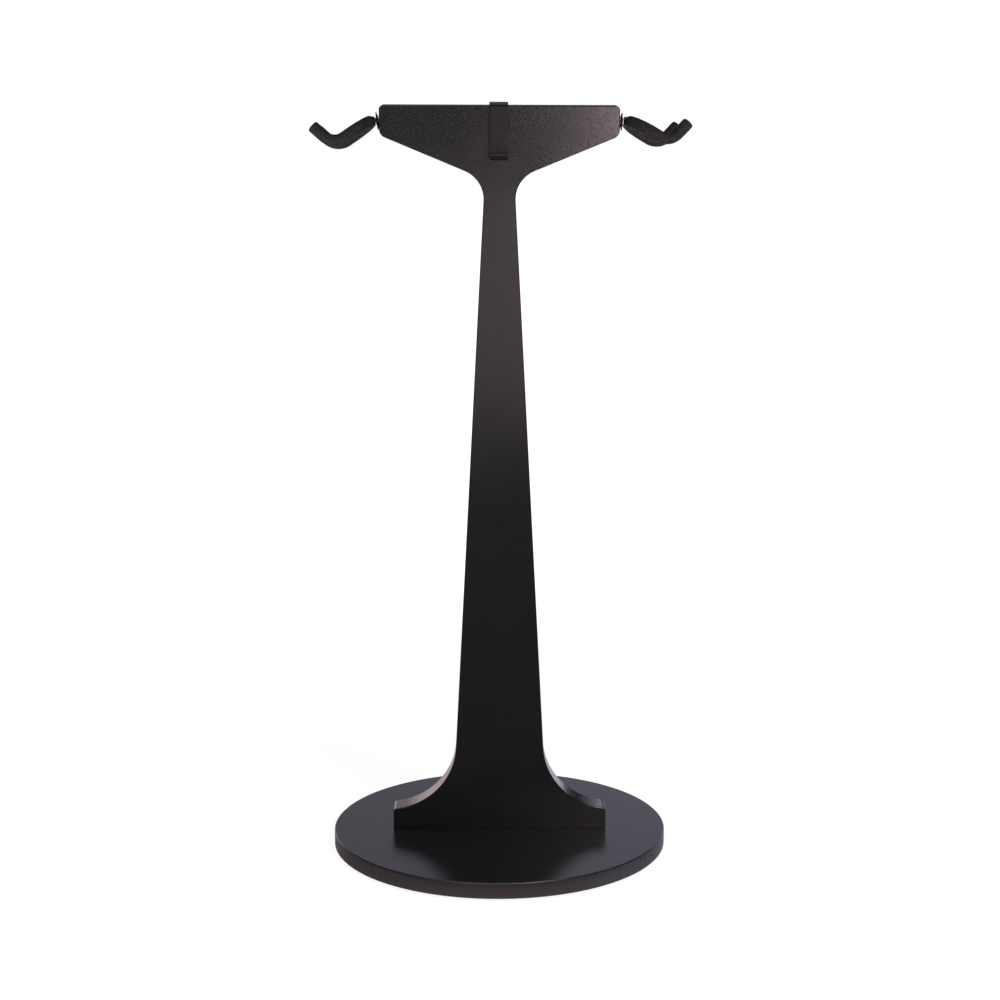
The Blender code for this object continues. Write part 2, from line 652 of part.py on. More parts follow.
def strip(bm, line, thickness, width, x):
    """Flat strip of even thickness whose inner face follows a line in the YZ plane."""
    outer = []
    for index, point in enumerate(line):
        before = line[max(index - 1, 0)]
        after = line[min(index + 1, len(line) - 1)]
        first = (point - before).normalized() if point != before else (after - point).normalized()
        second = (after - point).normalized() if after != point else first
        normal_a = Vector((-first.y, first.x))
        normal_b = Vector((-second.y, second.x))
        middle = (normal_a + normal_b).normalized()
        outer.append(point + middle * (thickness / middle.dot(normal_a)))
    ring = line + list(reversed(outer))
    lower = [bm.verts.new((x - width / 2.0, point.x, point.y)) for point in ring]
    upper = [bm.verts.new((x + width / 2.0, point.x, point.y)) for point in ring]
    last = len(line) - 1
    for index in range(last):
        a, b = index, index + 1
        c, d = 2 * last + 1 - b, 2 * last + 1 - a
        bm.faces.new((lower[a], lower[b], lower[c], lower[d]))
        bm.faces.new((upper[a], upper[d], upper[c], upper[b]))
    for index in range(len(ring)):
        after = (index + 1) % len(ring)
        bm.faces.new((lower[index], lower[after], upper[after], upper[index]))


def saddle_line(clearance, back_bottom, front_bottom):
    """Line in (y, z) up the back, over the head's top edge and down the front."""
    corner_radius = BOARD_ROUND_OVER + clearance
    half = BOARD_THICKNESS / 2.0 + clearance
    top = BOARD_TOP_Z + clearance
    back_low = Vector((half, back_bottom))
    back_top = Vector((half, top))
    front_top = Vector((-half, top))
    front_low = Vector((-half, front_bottom))
    line = [back_low]
    line += fillet(back_low, back_top, front_top, corner_radius, CORNER_STEP_DEG)
    line += fillet(back_top, front_top, front_low, corner_radius, CORNER_STEP_DEG)
    line.append(front_low)
    return line


def accessory_hook():
    clearance = LINING_THICKNESS + 2.0 * TOUCH_GAP
    lip_centre_z = BOARD_TOP_Z - HOOK_FRONT_DROP + HOOK_LIP_RADIUS + HOOK_THICKNESS
    line = saddle_line(clearance, BOARD_TOP_Z - HOOK_BACK_DROP, lip_centre_z)
    inner_y = line[-1].x - HOOK_THICKNESS
    centre = Vector((inner_y - HOOK_LIP_RADIUS, lip_centre_z))
    outer_radius = HOOK_LIP_RADIUS + HOOK_THICKNESS
    steps = math.ceil(180.0 / CORNER_STEP_DEG)
    for step in range(1, steps + 1):
        angle = math.pi * step / steps
        line.append(centre + Vector((math.cos(angle), -math.sin(angle))) * outer_radius)
    line.append(line[-1] + Vector((0.0, HOOK_LIP_RISE)))
    line.reverse()
    bm = bmesh.new()
    strip(bm, line, HOOK_THICKNESS, HOOK_WIDTH, HOOK_OFFSET_X)
    hook = finish_object("accessory_hook", mesh_from(bm, "accessory_hook"), "black_steel")
    soften = hook.modifiers.new("edge_round", "BEVEL")
    soften.width = HOOK_EDGE_ROUND
    soften.segments = 1
    soften.limit_method = "ANGLE"
    soften.angle_limit = math.radians(HOOK_SHARP_ANGLE_DEG)


def hook_lining():
    line = saddle_line(
        TOUCH_GAP, BOARD_TOP_Z - HOOK_BACK_DROP + LINING_INSET,
        BOARD_TOP_Z - HOOK_FRONT_DROP + HOOK_LIP_RADIUS + HOOK_THICKNESS)
    line.reverse()
    bm = bmesh.new()
    strip(bm, line, LINING_THICKNESS, HOOK_WIDTH - 2.0 * LINING_INSET, HOOK_OFFSET_X)
    finish_object("hook_lining", mesh_from(bm, "hook_lining"), "rubber")


def main():
    clear_scene()
    base_disc()
    rubber_feet()
    base_bolts()
    base_inserts()
    base_dowels()
    upright_board()
    for side in ("left", "right"):
        yoke(side)
    accessory_hook()
    hook_lining()


main()
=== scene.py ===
"""Looks of the double hanging guitar stand.

The painted board, the disc, the hook and the metal fittings are the part's own solids and only get
their finishes here.  The foam sleeves are modelled here over their plain solids.
"""

import json
import math

import bmesh
import bpy
import numpy as np
from mathutils import Matrix, Vector, noise

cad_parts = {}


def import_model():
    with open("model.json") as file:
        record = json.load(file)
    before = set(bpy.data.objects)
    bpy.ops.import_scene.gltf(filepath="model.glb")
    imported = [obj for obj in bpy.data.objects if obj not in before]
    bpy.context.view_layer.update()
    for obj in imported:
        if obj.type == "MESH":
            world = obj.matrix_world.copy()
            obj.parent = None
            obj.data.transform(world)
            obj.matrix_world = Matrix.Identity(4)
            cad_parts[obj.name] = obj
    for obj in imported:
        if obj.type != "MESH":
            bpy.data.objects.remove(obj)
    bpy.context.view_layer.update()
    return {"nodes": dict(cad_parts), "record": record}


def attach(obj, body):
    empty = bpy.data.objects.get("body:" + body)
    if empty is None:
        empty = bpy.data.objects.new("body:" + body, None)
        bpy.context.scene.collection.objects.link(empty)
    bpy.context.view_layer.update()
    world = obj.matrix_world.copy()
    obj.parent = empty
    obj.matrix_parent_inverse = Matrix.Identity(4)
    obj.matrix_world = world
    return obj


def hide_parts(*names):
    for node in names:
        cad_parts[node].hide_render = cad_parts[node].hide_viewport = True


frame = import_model()

# The yokes' places and routes, in metres, as the stand's own rods run
HEAD_HALF_WIDTH = 0.158
YOKE_AXIS_Z = 0.9970
YOKE_SLOPE = {"left": math.radians(6.9), "right": math.radians(2.2)}
YOKE_ROOT = 0.0118
PRONG_HALF_SPACING = 0.0311
PRONG_DROP = math.radians(27.5)
PRONG_LENGTH = 0.0562
CRANK_RADIUS = 0.021
TIP_RISE = math.radians(48.3)
TIP_LENGTH = 0.0372
SLEEVE_ROOT_GAP = 0.0065
SLEEVE_RADIUS = 0.00785
SLEEVE_BORE = 0.0044
YOKE_TURN = {"left": math.radians(6.2), "right": math.radians(6.3)}
YOKE_SET = {"left": 0.0, "right": math.radians(8.6)}
OUTWARD = {"left": -1.0, "right": 1.0}

# Foam sleeve shaping
SLEEVE_SIDES = 36
SLEEVE_STEP = 0.0007
ROOT_BEND_STEPS = 48
CRANK_STEPS = 40
ROOT_ROUND = 0.0016
TIP_ROUND = 0.0028
CREASE_DEPTH = 0.00028
CREASE_PITCH = 0.0043
CRANK_NEAR = 0.006          # within this distance of the crank's middle the foam is fully creased
CRANK_FAR = 0.019           # beyond this distance it isn't creased at all
CRANK_SWELL = 0.00022       # how far the sides bulge at the crank
SKIN_UNEVENNESS = 0.00014
SKIN_RATE_ALONG = 60.0
SKIN_RATE_ROUND = 1.3
SKIN_SEED = {"left_front": 1.7, "left_rear": 4.1, "right_front": 7.3, "right_rear": 9.9}
SLEEVE_SHARP_ANGLE = math.radians(50.0)


class Wiring:
    """Shorthand for placing nodes in one tree."""

    def __init__(self, tree):
        self.tree = tree

    def node(self, kind, **settings):
        made = self.tree.nodes.new(kind)
        for key, value in settings.items():
            setattr(made, key, value)
        return made

    def link(self, source, target):
        self.tree.links.new(source, target)

    def feed(self, made, name, value):
        """Link a socket, or write a plain value."""
        socket = made.inputs[name]
        if isinstance(value, bpy.types.NodeSocket):
            self.link(value, socket)
        else:
            socket.default_value = value

    def math(self, operation, first, second=0.5, clamp=False):
        made = self.node("ShaderNodeMath", operation=operation, use_clamp=clamp)
        self.feed(made, 0, first)
        self.feed(made, 1, second)
        return made.outputs[0]

    def add(self, first, second, clamp=False):
        return self.math("ADD", first, second, clamp)

    def minus(self, first, second):
        return self.math("SUBTRACT", first, second)

    def times(self, first, second, clamp=False):
        return self.math("MULTIPLY", first, second, clamp)

    def larger(self, first, second):
        return self.math("MAXIMUM", first, second)

    def weighted(self, first, second, share):
        """Mix of two values, of which the first has the given share."""
        return self.add(self.times(first, share), self.times(second, 1.0 - share))

    def noise(self, place, scale, detail, roughness=0.6):
        made = self.node("ShaderNodeTexNoise")
        self.feed(made, "Vector", place)
        self.feed(made, "Scale", scale)
        self.feed(made, "Detail", detail)
        self.feed(made, "Roughness", roughness)
        return made.outputs["Fac"]

    def span(self, value, low, high, to_low=0.0, to_high=1.0):
        """Smooth step from one level to another."""
        made = self.node("ShaderNodeMapRange", interpolation_type="SMOOTHSTEP")
        self.feed(made, "Value", value)
        self.feed(made, "From Min", low)
        self.feed(made, "From Max", high)
        self.feed(made, "To Min", to_low)
        self.feed(made, "To Max", to_high)
        return made.outputs["Result"]

    def fade(self, value, low, high, to_level=0.0):
        """Smooth step from full down to a level."""
        return self.span(value, low, high, 1.0, to_level)

    def blend(self, share, first, second):
        made = self.node("ShaderNodeMix", data_type="RGBA")
        self.feed(made, 0, share)
        self.feed(made, 6, first)
        self.feed(made, 7, second)
        return made.outputs[2]

    def place(self):
        return self.node("ShaderNodeTexCoord").outputs["Object"]

    def normal(self):
        return self.node("ShaderNodeNewGeometry").outputs["Normal"]

    def axes(self, vector):
        made = self.node("ShaderNodeSeparateXYZ")
        self.link(vector, made.inputs[0])
        return made.outputs

    def scaled(self, vector, factor):
        made = self.node("ShaderNodeVectorMath", operation="SCALE")
        self.link(vector, made.inputs[0])
        self.link(factor, made.inputs["Scale"])
        return made.outputs[0]

    def stretched(self, place, scale):
        made = self.node("ShaderNodeMapping")
        self.feed(made, "Vector", place)
        self.feed(made, "Scale", scale)
        return made.outputs["Vector"]


def grey(value, warm=0.0):
    return (value * (1.0 + warm), value, value * (1.0 - warm), 1.0)


def toned(colour, factor):
    """The same colour, lighter or darker, and no lighter than white."""
    return tuple(min(1.0, part * factor) for part in colour[:3]) + (1.0,)


# Finishes that several pieces share

def start_group(name, inputs, outputs):
    """Empty shader node group: its tree, its wiring, what it is given and what it puts out."""
    group = bpy.data.node_groups.new(name, "ShaderNodeTree")
    for socket_name, value in inputs.items():
        kind = "NodeSocketColor" if isinstance(value, tuple) else "NodeSocketFloat"
        socket = group.interface.new_socket(socket_name, in_out="INPUT", socket_type=kind)
        socket.default_value = value
    for socket_name in outputs:
        kind = "NodeSocketColor" if socket_name == "Color" else "NodeSocketFloat"
        group.interface.new_socket(socket_name, in_out="OUTPUT", socket_type=kind)
    w = Wiring(group)
    given = w.node("NodeGroupInput").outputs
    out = w.node("NodeGroupOutput").inputs
    return group, w, given, out


def paint_film_group():
    """Sprayed film: orange peel, and faint cloudiness in tone and gloss."""
    group, w, given, out = start_group(
        "paint_film",
        {"Tone": grey(0.02), "Cloud": 0.1, "Gloss Roughness": 0.35, "Peel Size": 0.0018,
         "Uneven Gloss": 0.05},
        ("Color", "Roughness", "Height"))
    place = w.place()
    peel_scale = w.math("DIVIDE", 1.0, given["Peel Size"])
    peel = w.noise(place, peel_scale, detail=2.0, roughness=0.55)
    ripple = w.noise(place, w.times(peel_scale, 0.23), detail=1.0, roughness=0.5)
    w.link(w.weighted(peel, ripple, share=0.7), out["Height"])
    cloud = w.noise(place, 14.0, detail=3.0)
    fleck = w.noise(place, w.times(peel_scale, 0.8), detail=1.0, roughness=0.5)
    tone = w.weighted(cloud, fleck, share=0.6)
    swing = w.times(w.minus(tone, 0.5), given["Cloud"])
    lift = w.add(1.0, w.times(swing, 2.0))
    w.link(w.scaled(given["Tone"], lift), out["Color"])
    rough = w.add(given["Gloss Roughness"], w.times(swing, 0.35))
    uneven = w.times(w.minus(peel, 0.5), given["Uneven Gloss"])
    w.link(w.add(rough, uneven), out["Roughness"])
    return group


def settled_dust_group():
    """Thin dust on faces that look up, broken into patches."""
    group, w, given, out = start_group("settled_dust", {"Amount": 0.2}, ("Mask",))
    place = w.place()
    up = w.span(w.axes(w.normal())["Z"], 0.35, 1.0)
    patches = w.span(w.noise(place, 9.0, detail=4.0), 0.35, 0.75)
    grit = w.span(w.noise(place, 1500.0, detail=1.0, roughness=0.5), 0.56, 0.74)
    cover = w.times(up, w.add(w.times(patches, 0.7), 0.3))
    w.link(w.times(w.times(cover, grit), given["Amount"], clamp=True), out["Mask"])
    return group


def edge_highlight_and_wear_group():
    """Mask along edges, where the finishes paint a lighter tone as an edge highlight and lower the
    roughness a little for polish from wear.
    """
    group, w, given, out = start_group("edge_highlight_and_wear", {"Width": 0.0012, "Amount": 0.5}, ("Mask",))
    soft = w.node("ShaderNodeBevel", samples=4)
    w.link(given["Width"], soft.inputs["Radius"])
    across = w.node("ShaderNodeVectorMath", operation="DOT_PRODUCT")
    w.link(soft.outputs["Normal"], across.inputs[0])
    w.link(w.normal(), across.inputs[1])
    edge = w.span(w.minus(1.0, across.outputs["Value"]), 0.002, 0.12)
    broken = w.span(w.noise(w.place(), 60.0, detail=4.0), 0.3, 0.7, 0.35, 1.0)
    w.link(w.times(w.times(edge, broken), given["Amount"], clamp=True), out["Mask"])
    return group


def turned_marks_group():
    """Fine rings that a lathe or a die leaves round an axis, as a height and a gloss change."""
    group, w, given, out = start_group(
        "turned_marks", {"Pitch": 0.0003, "Roughness": 0.28}, ("Height", "Roughness"))
    rate = w.math("DIVIDE", 1.0, given["Pitch"])
    place = w.place()
    rings = w.stretched(w.scaled(place, rate), (1.0, 0.03, 0.03))
    fine = w.noise(rings, 1.0, detail=2.0)
    w.link(fine, out["Height"])
    stain = w.noise(place, 300.0, detail=3.0)
    change = w.times(w.minus(w.add(fine, stain), 1.0), 0.25)
    w.link(w.add(given["Roughness"], change), out["Roughness"])
    return group


def foam_cells_group():
    """Closed cells of an extruded sleeve, or the fine pores of a moulded rubber."""
    group, w, given, out = start_group("foam_cells", {"Cell Size": 0.0007}, ("Height", "Pore Shade Mask"))
    place = w.place()
    rate = w.math("DIVIDE", 1.0, given["Cell Size"])
    cells = w.node("ShaderNodeTexVoronoi", feature="SMOOTH_F1")
    w.link(place, cells.inputs["Vector"])
    w.link(rate, cells.inputs["Scale"])
    skin = w.noise(place, w.times(rate, 0.3), detail=3.0)
    w.link(w.add(w.times(cells.outputs["Distance"], -0.6), skin), out["Height"])
    # The pore mask marks the cells' hollows, where the foam's shade is painted in a dark colour.
    w.link(w.span(cells.outputs["Distance"], 0.55, 0.25), out["Pore Shade Mask"])
    return group


PAINT_FILM = paint_film_group()
SETTLED_DUST = settled_dust_group()
EDGE_HIGHLIGHT_AND_WEAR = edge_highlight_and_wear_group()
TURNED_MARKS = turned_marks_group()
FOAM_CELLS = foam_cells_group()


class Finish:
    """One material: its Principled surface and the nodes that feed it."""

    def __init__(self, name, **plain):
        self.material = bpy.data.materials.new(name)
        self.material.use_nodes = True
        self.w = Wiring(self.material.node_tree)
        self.surface = self.material.node_tree.nodes["Principled BSDF"]
        for socket_name, value in plain.items():
            self.surface.inputs[socket_name.replace("_", " ")].default_value = value

    def group(self, tree, **values):
        made = self.w.node("ShaderNodeGroup")
        made.node_tree = tree
        for socket_name, value in values.items():
            self.w.feed(made, socket_name.replace("_", " "), value)
        return made.outputs

    def set(self, socket_name, value):
        self.w.feed(self.surface, socket_name, value)

    def bump(self, height, distance):
        made = self.w.node("ShaderNodeBump")
        self.w.feed(made, "Height", height)
        made.inputs["Distance"].default_value = distance
        made.inputs["Strength"].default_value = 1.0
        self.w.link(made.outputs["Normal"], self.surface.inputs["Normal"])


# The two edge colours below are lighter tones painted along edges as an edge highlight.
PAINT_EDGE_HIGHLIGHT = grey(0.022, 0.03)
PAINT_DUST = grey(0.32, 0.04)
STEEL_EDGE_HIGHLIGHT = grey(0.04, 0.02)
RUBBER_DUST = grey(0.3, 0.04)
FOAM_DARK = (0.0172, 0.0149, 0.0157, 1.0)
FOAM_PALE = (0.0245, 0.0213, 0.0225, 1.0)
FOAM_PORE_SHADE = grey(0.005)
BEECH_DARK = (0.42, 0.25, 0.13, 1.0)
BEECH_PALE = (0.66, 0.45, 0.27, 1.0)


def sprayed_paint(name, tone, roughness, peel_size, peel_depth, cloud, uneven):
    """Black paint on board: peel, cloudiness, a painted highlight along the edges and a little dust.
    """
    finish = Finish(name, IOR=1.5, Specular_IOR_Level=0.5)
    w = finish.w
    film = finish.group(
        PAINT_FILM, Tone=tone, Cloud=cloud, Gloss_Roughness=roughness, Peel_Size=peel_size,
        Uneven_Gloss=uneven)
    dust = finish.group(SETTLED_DUST, Amount=0.02)
    edge_light_and_wear = finish.group(EDGE_HIGHLIGHT_AND_WEAR, Width=0.0008, Amount=0.5)
    # Painted edge highlight: a lighter tone along the edges of the paint.
    edge_lit_film = w.blend(edge_light_and_wear["Mask"], film["Color"], PAINT_EDGE_HIGHLIGHT)
    finish.set("Base Color", w.blend(dust["Mask"], edge_lit_film, PAINT_DUST))
    polished = w.minus(film["Roughness"], w.times(edge_light_and_wear["Mask"], 0.10))
    finish.set("Roughness", w.add(polished, w.times(dust["Mask"], 0.4), clamp=True))
    finish.bump(film["Height"], peel_depth)
    return finish.material


def coated_steel(name, tone, roughness, grain):
    """Powder-coated steel with a fine even grain."""
    finish = Finish(name, IOR=1.45, Specular_IOR_Level=0.35)
    w = finish.w
    film = finish.group(
        PAINT_FILM, Tone=tone, Cloud=0.08, Gloss_Roughness=roughness, Peel_Size=grain)
    edge_light_and_wear = finish.group(EDGE_HIGHLIGHT_AND_WEAR, Width=0.0005, Amount=0.25)
    # Painted edge highlight: a lighter tone along the edges of the coating.
    finish.set("Base Color", w.blend(edge_light_and_wear["Mask"], film["Color"], STEEL_EDGE_HIGHLIGHT))
    finish.set("Roughness", w.minus(film["Roughness"], w.times(edge_light_and_wear["Mask"], 0.12)))
    finish.bump(film["Height"], grain * 0.05)
    return finish.material


def bare_metal(name, colour, roughness, pitch):
    """Zinc-plated steel or brass with the marks of its making."""
    finish = Finish(name, Metallic=1.0)
    w = finish.w
    marks = finish.group(TURNED_MARKS, Pitch=pitch, Roughness=roughness)
    edge_light_and_wear = finish.group(EDGE_HIGHLIGHT_AND_WEAR, Width=0.0004, Amount=0.8)
    tarnish = w.span(w.noise(w.place(), 420.0, detail=3.0), 0.35, 0.75, 0.0, 0.5)
    worn = w.blend(tarnish, colour, toned(colour, 0.6))
    # Edges get a lighter tone: partly bright worn metal, partly a painted edge highlight.
    finish.set("Base Color", w.blend(edge_light_and_wear["Mask"], worn, toned(colour, 1.25)))
    finish.set("Roughness", marks["Roughness"])
    finish.bump(marks["Height"], pitch * 0.12)
    return finish.material


def foam_finish():
    """Charcoal foam with an uneven skin, and painted shade in its fine pores."""
    finish = Finish("charcoal_foam", IOR=1.35, Specular_IOR_Level=0.10)
    w = finish.w
    cells = finish.group(FOAM_CELLS, Cell_Size=0.00075)
    patch = w.span(w.noise(w.place(), 55.0, detail=3.0), 0.3, 0.7)
    skin = w.blend(patch, FOAM_DARK, FOAM_PALE)
    # Painted shade: the pores get a darker colour in place of the shade inside them.
    finish.set("Base Color", w.blend(cells["Pore Shade Mask"], skin, FOAM_PORE_SHADE))
    finish.set("Roughness", w.span(patch, 0.0, 1.0, 0.58, 0.70))
    finish.bump(cells["Height"], 0.00006)
    return finish.material


def rubber_finish(name, tone, cell):
    """Matt black rubber with a grey bloom and a little dust."""
    finish = Finish(name, IOR=1.5, Specular_IOR_Level=0.3)
    w = finish.w
    cells = finish.group(FOAM_CELLS, Cell_Size=cell)
    dust = finish.group(SETTLED_DUST, Amount=0.1)
    most_bloom = 0.35
    bloom = w.span(w.noise(w.place(), 90.0, detail=4.0), 0.35, 0.8, 0.0, most_bloom)
    base = w.blend(bloom, grey(tone, 0.01), grey(tone * 2.2, 0.02))
    finish.set("Base Color", w.blend(dust["Mask"], base, RUBBER_DUST))
    finish.set("Roughness", w.span(bloom, 0.0, most_bloom, 0.62, 0.82))
    finish.bump(cells["Height"], cell * 0.1)
    return finish.material


def beech_finish():
    """Unfinished beech with its grain along the dowel."""
    finish = Finish("beech_dowel", IOR=1.5, Specular_IOR_Level=0.3)
    w = finish.w
    along = w.stretched(w.place(), (1.0, 1.0, 0.06))
    rings = w.node("ShaderNodeTexWave", bands_direction="X")
    w.link(along, rings.inputs["Vector"])
    rings.inputs["Scale"].default_value = 160.0
    rings.inputs["Distortion"].default_value = 3.0
    grain = w.noise(along, 1400.0, detail=3.0)
    tone = w.weighted(rings.outputs["Fac"], grain, share=0.6)
    finish.set("Base Color", w.blend(tone, BEECH_DARK, BEECH_PALE))
    finish.set("Roughness", w.span(grain, 0.3, 0.7, 0.55, 0.75))
    finish.bump(grain, 0.00008)
    return finish.material


FINISHES = {
    "board_paint": sprayed_paint(
        "board_satin_black", grey(0.0072, -0.08), roughness=0.18, peel_size=0.0020,
        peel_depth=0.00006, cloud=0.35, uneven=0.45),
    "disc_paint": sprayed_paint(
        "disc_satin_black", grey(0.0085), roughness=0.29, peel_size=0.0016,
        peel_depth=0.00001, cloud=0.08, uneven=0.04),
    "rod_black": coated_steel("rod_powder_black", grey(0.018), roughness=0.42, grain=0.0006),
    "washer_black": coated_steel("washer_black", grey(0.006), roughness=0.45, grain=0.0004),
    "hook_black": coated_steel(
        "hook_powder_black", grey(0.0050, -0.10), roughness=0.22, grain=0.0005),
    "fitting_steel": bare_metal(
        "fitting_zinc_steel", (0.66, 0.64, 0.61, 1.0), roughness=0.26, pitch=0.00035),
    "bolt_steel": bare_metal(
        "bolt_zinc_steel", (0.58, 0.58, 0.60, 1.0), roughness=0.34, pitch=0.0004),
    "insert_brass": bare_metal(
        "insert_brass", (0.62, 0.44, 0.30, 1.0), roughness=0.30, pitch=0.0003),
    "foam": foam_finish(),
    "foot_rubber": rubber_finish("foot_rubber", tone=0.018, cell=0.0006),
    "lining_rubber": rubber_finish("lining_rubber", tone=0.014, cell=0.0004),
    "beech": beech_finish(),
}


def dress_nodes():
    """Give every carried-over node the finish of its material slot."""
    for part in frame["record"]["subparts"]:
        node = frame["nodes"][part["node"]]
        for place in node.material_slots:
            place.material = FINISHES[part["material_slot"]]


# Foam sleeves

def crank_tangent():
    """How far before and after its corner the crank's bend starts and ends."""
    return CRANK_RADIUS * math.tan((PRONG_DROP + TIP_RISE) / 2.0)


def prong_route():
    """Centre line of one whole prong in the rod's own frame, from the sleeve's root to the tip."""
    outwards = Vector((math.cos(PRONG_DROP), 0.0, -math.sin(PRONG_DROP)))
    above = Vector((math.sin(PRONG_DROP), 0.0, math.cos(PRONG_DROP)))
    start = SLEEVE_ROOT_GAP / PRONG_HALF_SPACING
    points = []
    for step in range(ROOT_BEND_STEPS + 1):
        angle = start + (math.pi / 2.0 - start) * step / ROOT_BEND_STEPS
        reach = PRONG_HALF_SPACING * (1.0 - math.cos(angle))
        sideways = Vector((0.0, -PRONG_HALF_SPACING * math.sin(angle), 0.0))
        points.append(outwards * reach + sideways)
    spread = Vector((0.0, -PRONG_HALF_SPACING, 0.0))
    bend_start = outwards * (PRONG_LENGTH - crank_tangent()) + spread
    centre = bend_start + above * CRANK_RADIUS
    for step in range(CRANK_STEPS + 1):
        angle = (PRONG_DROP + TIP_RISE) * step / CRANK_STEPS
        ray = outwards * math.sin(angle) - above * math.cos(angle)
        points.append(centre + ray * CRANK_RADIUS)
    tip = Vector((math.cos(TIP_RISE), 0.0, math.sin(TIP_RISE)))
    points.append(points[-1] + tip * (TIP_LENGTH - crank_tangent()))
    return points


def even_steps(points, step):
    """The same route with evenly spaced points, and its length."""
    line = np.array([tuple(point) for point in points])
    runs = np.linalg.norm(np.diff(line, axis=0), axis=1)
    along = np.concatenate([[0.0], np.cumsum(runs)])
    length = along[-1]
    marks = np.linspace(0.0, length, int(round(length / step)) + 1)
    route = [Vector([np.interp(mark, along, line[:, axis]) for axis in range(3)]) for mark in marks]
    return route, length


def smooth_share(value, low, high):
    share = min(1.0, max(0.0, (value - low) / (high - low)))
    return share * share * (3.0 - 2.0 * share)


def skin_offset(mark, length, angle, bend_mark, seed):
    """Change of the sleeve's radius at one point of its skin."""
    change = 0.0
    for distance, soft in ((mark, ROOT_ROUND), (length - mark, TIP_ROUND)):
        if distance < soft:
            change -= soft - math.sqrt(max(0.0, soft ** 2 - (soft - distance) ** 2))
    inner = max(0.0, math.cos(angle))
    near_bend = 1.0 - smooth_share(abs(mark - bend_mark), CRANK_NEAR, CRANK_FAR)
    creases = 0.5 - 0.5 * math.cos(2.0 * math.pi * (mark - bend_mark) / CREASE_PITCH)
    change -= CREASE_DEPTH * creases * near_bend * inner ** 2
    change += CRANK_SWELL * near_bend * (1.0 - abs(math.cos(angle)))
    spot = Vector((mark * SKIN_RATE_ALONG, math.cos(angle) * SKIN_RATE_ROUND + seed,
                   math.sin(angle) * SKIN_RATE_ROUND))
    change += SKIN_UNEVENNESS * noise.noise(spot)
    return change


def rod_place(side):
    """Where the middle of one bent rod lies and how it stands."""
    facing = Matrix.Rotation(0.0 if side == "right" else math.pi, 4, "Z")
    end = Matrix.Translation((OUTWARD[side] * HEAD_HALF_WIDTH, 0.0, YOKE_AXIS_Z)) @ facing
    slope = Matrix.Rotation(YOKE_SLOPE[side], 4, "Y")
    turn = Matrix.Rotation(-OUTWARD[side] * YOKE_TURN[side], 4, "X")
    set_off = Matrix.Rotation(OUTWARD[side] * YOKE_SET[side], 4, "Z")
    return end @ slope @ turn @ Matrix.Translation((YOKE_ROOT, 0.0, 0.0)) @ set_off


def bridge(bm, first, second):
    """Faces between two rings of one sleeve."""
    for corner in range(SLEEVE_SIDES):
        after = (corner + 1) % SLEEVE_SIDES
        bm.faces.new((first[corner], first[after], second[after], second[corner]))


def foam_sleeve(side, place):
    """One sleeve: a soft tube that swells and creases a little where its prong is cranked."""
    route, length = even_steps(prong_route(), SLEEVE_STEP)
    is_mirrored = (place == "front") != (side == "right")
    if is_mirrored:
        route = [Vector((point.x, -point.y, point.z)) for point in route]
    bend_length = CRANK_RADIUS * (PRONG_DROP + TIP_RISE)
    bend_mark = length - (TIP_LENGTH - crank_tangent()) - bend_length / 2.0
    seed = SKIN_SEED[f"{side}_{place}"]
    to_place = rod_place(side)
    up = Vector((0.0, 0.0, 1.0))
    bm = bmesh.new()
    skin = []
    bore = []
    for index, point in enumerate(route):
        ahead = route[min(index + 1, len(route) - 1)]
        behind = route[max(index - 1, 0)]
        run = (ahead - behind).normalized()
        high = (up - run * up.dot(run)).normalized()
        across = run.cross(high)
        mark = length * index / (len(route) - 1)
        skin_ring = []
        bore_ring = []
        for corner in range(SLEEVE_SIDES):
            angle = 2.0 * math.pi * corner / SLEEVE_SIDES
            ray = high * math.cos(angle) + across * math.sin(angle)
            radius = SLEEVE_RADIUS + skin_offset(mark, length, angle, bend_mark, seed)
            skin_ring.append(bm.verts.new(to_place @ (point + ray * radius)))
            bore_ring.append(bm.verts.new(to_place @ (point + ray * SLEEVE_BORE)))
        skin.append(skin_ring)
        bore.append(bore_ring)
    for rings in (skin, bore):
        for first, second in zip(rings, rings[1:]):
            bridge(bm, first, second)
    for end in (0, -1):
        bridge(bm, skin[end], bore[end])
    bmesh.ops.recalc_face_normals(bm, faces=bm.faces)
    name = f"{side}_{place}_foam_sleeve"
    mesh = bpy.data.meshes.new(name)
    bm.to_mesh(mesh)
    bm.free()
    mesh.shade_smooth()
    mesh.set_sharp_from_angle(angle=SLEEVE_SHARP_ANGLE)
    mesh.materials.append(FINISHES["foam"])
    sleeve = bpy.data.objects.new(name, mesh)
    bpy.context.scene.collection.objects.link(sleeve)
    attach(sleeve, f"{side}_yoke")
    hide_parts(f"{side}_yoke_sleeve_{place}")


# Camera

CAMERA_PLACE = (-0.0094, -3.1, 1.1232)
CAMERA_PITCH = math.radians(11.585)
CAMERA_YAW = math.radians(-1.443)
CAMERA_ROLL = math.radians(0.249)
CAMERA_LENS = 83.66
CAMERA_SENSOR = 36.0
CAMERA_SHIFT = -0.05
CAMERA_FAR = 100.0


def camera():
    data = bpy.data.cameras.new("photo_view")
    data.lens = CAMERA_LENS
    data.sensor_width = CAMERA_SENSOR
    data.shift_x = CAMERA_SHIFT
    data.clip_end = CAMERA_FAR
    made = bpy.data.objects.new("photo_view", data)
    pan = Matrix.Rotation(CAMERA_YAW, 4, "Z")
    tilt = Matrix.Rotation(math.pi / 2.0 - CAMERA_PITCH, 4, "X")
    lean = Matrix.Rotation(CAMERA_ROLL, 4, "Z")
    made.matrix_world = Matrix.Translation(CAMERA_PLACE) @ pan @ tilt @ lean
    bpy.context.scene.collection.objects.link(made)
    bpy.context.scene.camera = made


